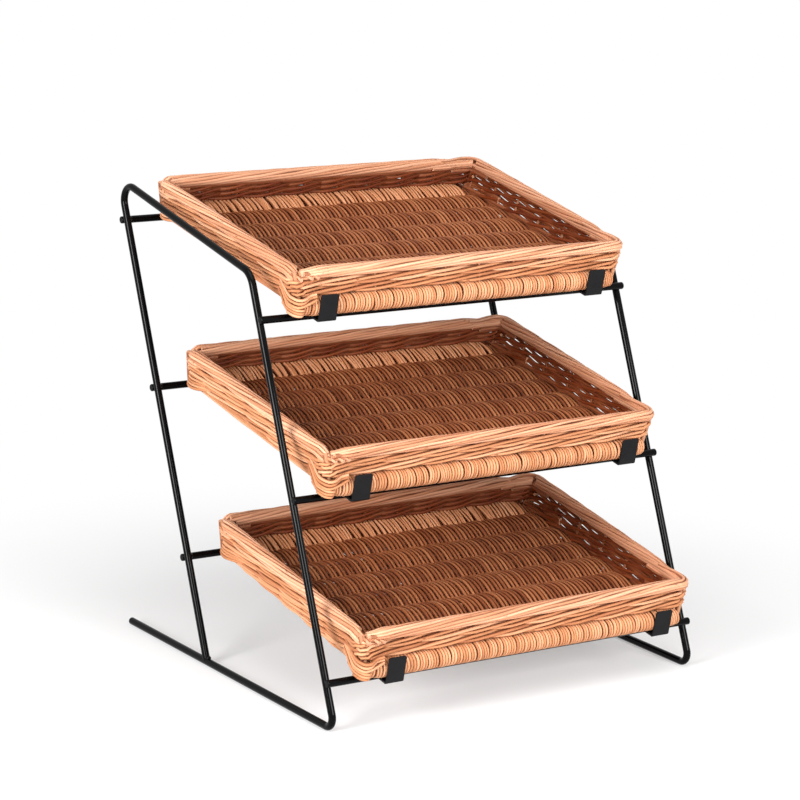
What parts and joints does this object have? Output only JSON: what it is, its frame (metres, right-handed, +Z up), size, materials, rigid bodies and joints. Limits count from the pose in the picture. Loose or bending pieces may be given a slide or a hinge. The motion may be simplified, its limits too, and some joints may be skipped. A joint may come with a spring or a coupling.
{
  "type": "bakery bread rack",
  "caption": "Sloping tiered counter rack of bent black steel rod, each tier carrying a shallow rectangular woven willow basket behind upright clips.",
  "frame": {"origin": "middle of the footprint on the counter: halfway between the side frames and halfway between the clips' front and the rear bar's back, at the underside of the feet", "axes": "+X to the right of someone facing the rack's low front, +Y to the rear, +Z up"},
  "size_m": [0.468, 0.4744, 0.5052],
  "materials": {
    "powder_coat": "satin",
    "clip_coat": "matte",
    "willow": "matte",
    "willow_rim": "matte",
    "willow_sticks": "matte"
  },
  "bodies": {
    "frame": {"side_frame_left": "powder_coat", "side_frame_right": "powder_coat", "front_bar_lower": "powder_coat", "rear_bar_lower": "powder_coat", "front_bar_middle": "powder_coat", "rear_bar_middle": "powder_coat", "front_bar_upper": "powder_coat", "rear_bar_upper": "powder_coat", "clip_lower_left": "clip_coat", "clip_lower_right": "clip_coat", "clip_middle_left": "clip_coat", "clip_middle_right": "clip_coat", "clip_upper_left": "clip_coat", "clip_upper_right": "clip_coat", "bar_welds": "powder_coat", "foot_welds": "powder_coat", "clip_welds": "powder_coat"},
    "basket_lower": {"basket_lower_sticks": "willow_sticks", "basket_lower_base_weave": "willow", "basket_lower_side_stakes": "willow_sticks", "basket_lower_corner_posts": "willow_sticks", "basket_lower_siding": "willow", "basket_lower_border": "willow_rim"},
    "basket_middle": {"basket_middle_sticks": "willow_sticks", "basket_middle_base_weave": "willow", "basket_middle_side_stakes": "willow_sticks", "basket_middle_corner_posts": "willow_sticks", "basket_middle_siding": "willow", "basket_middle_border": "willow_rim"},
    "basket_upper": {"basket_upper_sticks": "willow_sticks", "basket_upper_base_weave": "willow", "basket_upper_side_stakes": "willow_sticks", "basket_upper_corner_posts": "willow_sticks", "basket_upper_siding": "willow", "basket_upper_border": "willow_rim"}
  },
  "joints": [
    {"name": "lift_lower_basket", "type": "slide", "parent": "frame", "child": "basket_lower", "axis": [0, -0.1843, 0.9829], "range_m": [0, 0.09]},
    {"name": "lift_middle_basket", "type": "slide", "parent": "frame", "child": "basket_middle", "axis": [0, -0.1843, 0.9829], "range_m": [0, 0.09]},
    {"name": "lift_upper_basket", "type": "slide", "parent": "frame", "child": "basket_upper", "axis": [0, -0.1843, 0.9829], "range_m": [0, 0.15]}
  ]
}
